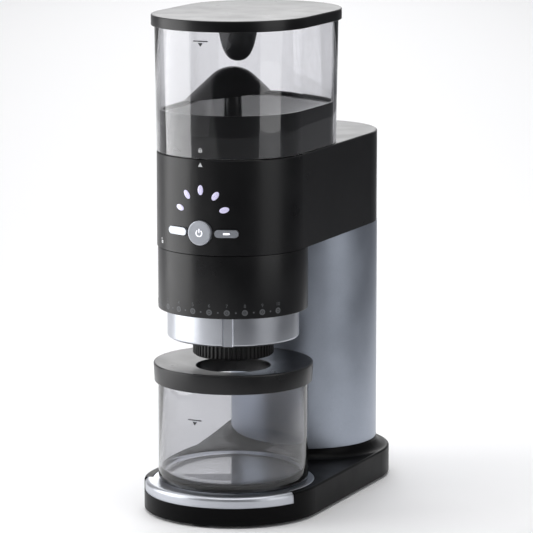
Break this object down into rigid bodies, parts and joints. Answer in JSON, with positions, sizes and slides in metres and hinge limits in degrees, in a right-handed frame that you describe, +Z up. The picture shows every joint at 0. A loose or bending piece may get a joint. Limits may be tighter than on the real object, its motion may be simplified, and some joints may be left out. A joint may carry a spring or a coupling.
{
  "type": "burr coffee grinder",
  "caption": "Electric burr coffee grinder: clear bean hopper over a black head with buttons, number ring and silver grind dial, on a motor column and base with a lidded grounds container.",
  "frame": {"origin": "centre of the base's footprint, on the surface that it stands on", "axes": "+Z up; -Y is the front, with the controls, dial and container; +X is the side to the right of someone facing the front"},
  "size_m": [0.144, 0.284, 0.4005],
  "materials": {
    "black_plastic": "satin moulded",
    "dark_inner_plastic": "moulded",
    "smoke_clear_plastic": "clear, smoke tint",
    "column_metal": "satin metallic lacquer",
    "satin_silver": "satin",
    "silver_key": "satin silver lacquer",
    "light_lens": "frosted",
    "outlet_rubber": "matte",
    "black_rubber": "matte",
    "zinc_steel": "zinc plated",
    "burr_steel": "ground",
    "gear_steel": "machined",
    "gear_nylon": "moulded",
    "cast_alloy": "cast and turned",
    "bronze": "sintered",
    "magnet_ferrite": "sintered",
    "armature_steel": "laminated",
    "circuit_board": "lacquered"
  },
  "bodies": {
    "root": {"base_shell": "black_plastic", "base_plate": "zinc_steel", "rubber_feet": "black_rubber", "base_screws": "zinc_steel", "container_tray": "satin_silver", "cord_gland": "black_rubber", "column_shell": "column_metal", "column_liner": "dark_inner_plastic", "motor_bracket": "zinc_steel", "motor_screws": "zinc_steel", "motor_can": "zinc_steel", "motor_end_cap": "dark_inner_plastic", "motor_magnets": "magnet_ferrite", "motor_bushes": "bronze", "power_board": "circuit_board", "head_housing": "black_plastic", "bean_lights": "light_lens", "head_chassis": "dark_inner_plastic", "chassis_screws": "zinc_steel", "countershaft": "zinc_steel", "bean_throat": "dark_inner_plastic", "control_board": "circuit_board", "keypad_mat": "black_rubber", "hopper_switch": "dark_inner_plastic", "drive_belt": "black_rubber", "sleeve_bushes": "bronze", "burr_chamber": "dark_inner_plastic", "scale_ring": "black_plastic"},
    "hopper_lock": {"hopper_lock_ring": "dark_inner_plastic"},
    "hopper": {"hopper_shell": "smoke_clear_plastic", "hopper_floor": "black_plastic", "bean_cone": "black_plastic", "cone_post": "black_plastic"},
    "hopper_lid": {"hopper_lid": "black_plastic", "lid_seal": "black_rubber", "lid_stem": "black_plastic"},
    "grind_dial": {"grind_dial": "satin_silver", "outlet_nozzle": "outlet_rubber"},
    "burr_carrier": {"burr_carrier": "dark_inner_plastic", "ring_burr": "burr_steel", "burr_clamp_ring": "zinc_steel"},
    "burr_drive": {"drive_sleeve": "cast_alloy", "burr_pulley": "dark_inner_plastic", "burr_shaft": "zinc_steel", "cone_burr": "burr_steel", "burr_nut": "zinc_steel"},
    "reduction_gear": {"reduction_gear": "gear_nylon", "small_pulley": "dark_inner_plastic"},
    "motor_rotor": {"motor_shaft": "zinc_steel", "motor_armature": "armature_steel", "drive_pinion": "gear_steel"},
    "power_button": {"power_button": "silver_key"},
    "minus_button": {"minus_button": "silver_key"},
    "plus_button": {"plus_button": "silver_key"},
    "container": {"grounds_container": "smoke_clear_plastic"},
    "container_lid": {"container_lid": "black_plastic", "container_seal": "black_rubber"}
  },
  "joints": [
    {"name": "hopper_twist", "type": "hinge", "parent": "root", "child": "hopper_lock", "pos_m": [0, -0.07, 0.29], "axis": [0, 0, 1], "range_deg": [-45, 0]},
    {"name": "hopper_lift", "type": "slide", "parent": "hopper_lock", "child": "hopper", "axis": [0, 0, 1], "range_m": [0, 0.12]},
    {"name": "hopper_lid_lift", "type": "slide", "parent": "hopper", "child": "hopper_lid", "axis": [0, 0, 1], "range_m": [0, 0.08]},
    {"name": "dial_turn", "type": "hinge", "parent": "root", "child": "grind_dial", "pos_m": [0, -0.07, 0.2], "axis": [0, 0, 1], "range_deg": [-81.6, 40.8]},
    {"name": "burr_height", "type": "slide", "parent": "root", "child": "burr_carrier", "axis": [0, 0, 1], "range_m": [-0.0005, 0.00025]},
    {"name": "burr_spin", "type": "hinge", "parent": "root", "child": "burr_drive", "pos_m": [0, -0.07, 0.2], "axis": [0, 0, 1], "continuous": true},
    {"name": "gear_spin", "type": "hinge", "parent": "root", "child": "reduction_gear", "pos_m": [0, 0.042, 0.226], "axis": [0, 0, 1], "continuous": true},
    {"name": "motor_spin", "type": "hinge", "parent": "root", "child": "motor_rotor", "pos_m": [0, 0.084, 0.17], "axis": [0, 0, 1], "continuous": true},
    {"name": "power_press", "type": "slide", "parent": "root", "child": "power_button", "axis": [0, 1, 0], "range_m": [0, 0.0012], "stiffness_N_per_m": 400, "springref_m": -0.0005},
    {"name": "minus_press", "type": "slide", "parent": "root", "child": "minus_button", "axis": [0.342, 0.9397, 0], "range_m": [0, 0.001], "stiffness_N_per_m": 400, "springref_m": -0.0005},
    {"name": "plus_press", "type": "slide", "parent": "root", "child": "plus_button", "axis": [-0.342, 0.9397, 0], "range_m": [0, 0.001], "stiffness_N_per_m": 400, "springref_m": -0.0005},
    {"name": "container_slide", "type": "slide", "parent": "root", "child": "container", "axis": [0, -1, 0], "range_m": [0, 0.16]},
    {"name": "container_lid_lift", "type": "slide", "parent": "container", "child": "container_lid", "axis": [0, 0, 1], "range_m": [0, 0.005]}
  ],
  "couplings": [
    {"joint": "burr_height", "follows": "dial_turn", "m_per_rad": 0.000328},
    {"joint": "gear_spin", "follows": "burr_spin", "ratio": 2.7143},
    {"joint": "motor_spin", "follows": "burr_spin", "ratio": -8.1429}
  ]
}
